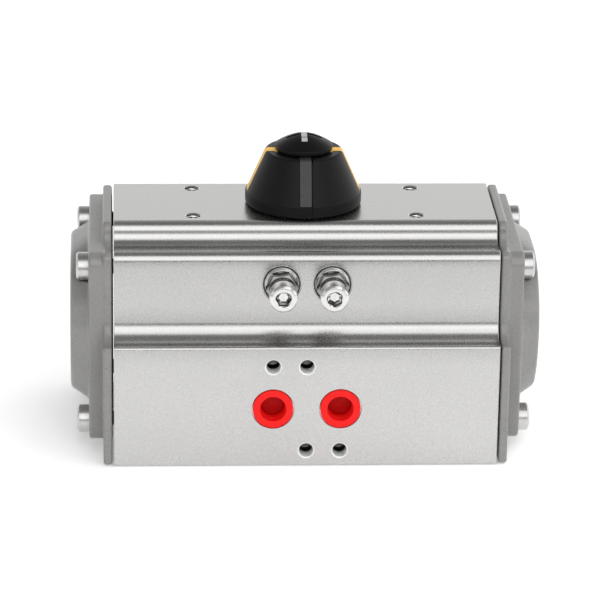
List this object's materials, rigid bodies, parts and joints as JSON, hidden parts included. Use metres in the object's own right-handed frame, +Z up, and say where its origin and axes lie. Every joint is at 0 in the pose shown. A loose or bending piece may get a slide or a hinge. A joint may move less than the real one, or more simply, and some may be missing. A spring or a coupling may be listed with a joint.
{
  "type": "rotary pneumatic actuator",
  "caption": "Double-acting rack-and-pinion quarter-turn pneumatic actuator with two pistons, travel stops, position indicator and valve interfaces.",
  "frame": {"origin": "the middle of the footprint, on the bottom face that bolts to the valve; the drive axis stands 8.25 mm behind it, at y = +8.25 mm", "axes": "+X along the cylinder bore, -Y out of the front face with the air ports, +Z up along the drive shaft to the indicator"},
  "size_m": [0.168, 0.0886, 0.1098],
  "materials": {
    "housing_aluminium": "hard anodised, satin, fine blasted grain",
    "cap_paint": "warm grey powder coat over die-cast aluminium, matt",
    "piston_aluminium": "die cast and machined",
    "shaft_steel": "nickel-plated carbon steel, machined",
    "stainless_steel": "bright stainless steel, machined",
    "black_rubber": "nitrile rubber, matt",
    "bearing_plastic": "natural acetal, matt",
    "indicator_plastic": "moulded black plastic, satin",
    "yellow_plastic": "moulded yellow plastic, satin",
    "red_plastic": "soft moulded red plastic, satin"
  },
  "bodies": {
    "housing": {"body": "housing_aluminium", "end_cap_left": "cap_paint", "end_cap_seal_left": "black_rubber", "end_cap_right": "cap_paint", "end_cap_seal_right": "black_rubber", "end_cap_screw_left_1": "stainless_steel", "end_cap_screw_left_2": "stainless_steel", "end_cap_screw_left_3": "stainless_steel", "end_cap_screw_left_4": "stainless_steel", "end_cap_screw_right_1": "stainless_steel", "end_cap_screw_right_2": "stainless_steel", "end_cap_screw_right_3": "stainless_steel", "end_cap_screw_right_4": "stainless_steel", "shaft_bush_lower": "bearing_plastic", "shaft_bush_upper": "bearing_plastic", "thrust_bearing": "bearing_plastic", "adjuster_washer_left": "stainless_steel", "adjuster_oring_left": "black_rubber", "adjuster_washer_right": "stainless_steel", "adjuster_oring_right": "black_rubber"},
    "drive": {"pinion_shaft": "shaft_steel", "travel_stop_cam": "shaft_steel", "shaft_oring_lower": "black_rubber", "shaft_oring_upper": "black_rubber", "thrust_washer": "stainless_steel", "circlip": "shaft_steel", "indicator_housing": "indicator_plastic", "indicator_insert_yellow_left": "yellow_plastic", "indicator_insert_yellow_right": "yellow_plastic", "indicator_insert_black_front": "indicator_plastic", "indicator_insert_black_rear": "indicator_plastic", "indicator_screw": "indicator_plastic"},
    "piston_assembly_left": {"piston_left": "piston_aluminium", "piston_oring_left": "black_rubber", "piston_wear_ring_left": "bearing_plastic", "piston_guide_pad_left": "bearing_plastic"},
    "stop_screw_left": {"adjuster_screw_left": "stainless_steel"},
    "lock_nut_left": {"adjuster_nut_left": "stainless_steel"},
    "plug_left": {"port_plug_left": "red_plastic"},
    "piston_assembly_right": {"piston_right": "piston_aluminium", "piston_oring_right": "black_rubber", "piston_wear_ring_right": "bearing_plastic", "piston_guide_pad_right": "bearing_plastic"},
    "stop_screw_right": {"adjuster_screw_right": "stainless_steel"},
    "lock_nut_right": {"adjuster_nut_right": "stainless_steel"},
    "plug_right": {"port_plug_right": "red_plastic"}
  },
  "joints": [
    {"name": "drive_turn", "type": "hinge", "parent": "housing", "child": "drive", "pos_m": [0, 0.00825, 0.04], "axis": [0, 0, 1], "range_deg": [0, 90]},
    {"name": "piston_left_slide", "type": "slide", "parent": "housing", "child": "piston_assembly_left", "axis": [-1, 0, 0], "range_m": [0, 0.0165]},
    {"name": "piston_right_slide", "type": "slide", "parent": "housing", "child": "piston_assembly_right", "axis": [1, 0, 0], "range_m": [0, 0.0165]},
    {"name": "stop_screw_left_travel", "type": "slide", "parent": "housing", "child": "stop_screw_left", "axis": [0, -1, 0], "range_m": [0, 0.004]},
    {"name": "lock_nut_left_turn", "type": "hinge", "parent": "housing", "child": "lock_nut_left", "pos_m": [-0.009, -0.03195, 0.0656], "axis": [0, -1, 0], "range_deg": [0, 360]},
    {"name": "plug_left_pull", "type": "slide", "parent": "housing", "child": "plug_left", "axis": [0, -1, 0], "range_m": [0, 0.02]},
    {"name": "stop_screw_right_travel", "type": "slide", "parent": "housing", "child": "stop_screw_right", "axis": [0, -1, 0], "range_m": [0, 0.004]},
    {"name": "lock_nut_right_turn", "type": "hinge", "parent": "housing", "child": "lock_nut_right", "pos_m": [0.009, -0.03195, 0.0656], "axis": [0, -1, 0], "range_deg": [0, 360]},
    {"name": "plug_right_pull", "type": "slide", "parent": "housing", "child": "plug_right", "axis": [0, -1, 0], "range_m": [0, 0.02]}
  ],
  "couplings": [
    {"joint": "drive_turn", "follows": "piston_left_slide", "rad_per_m": 95.238},
    {"joint": "piston_right_slide", "follows": "piston_left_slide", "ratio": 1}
  ]
}
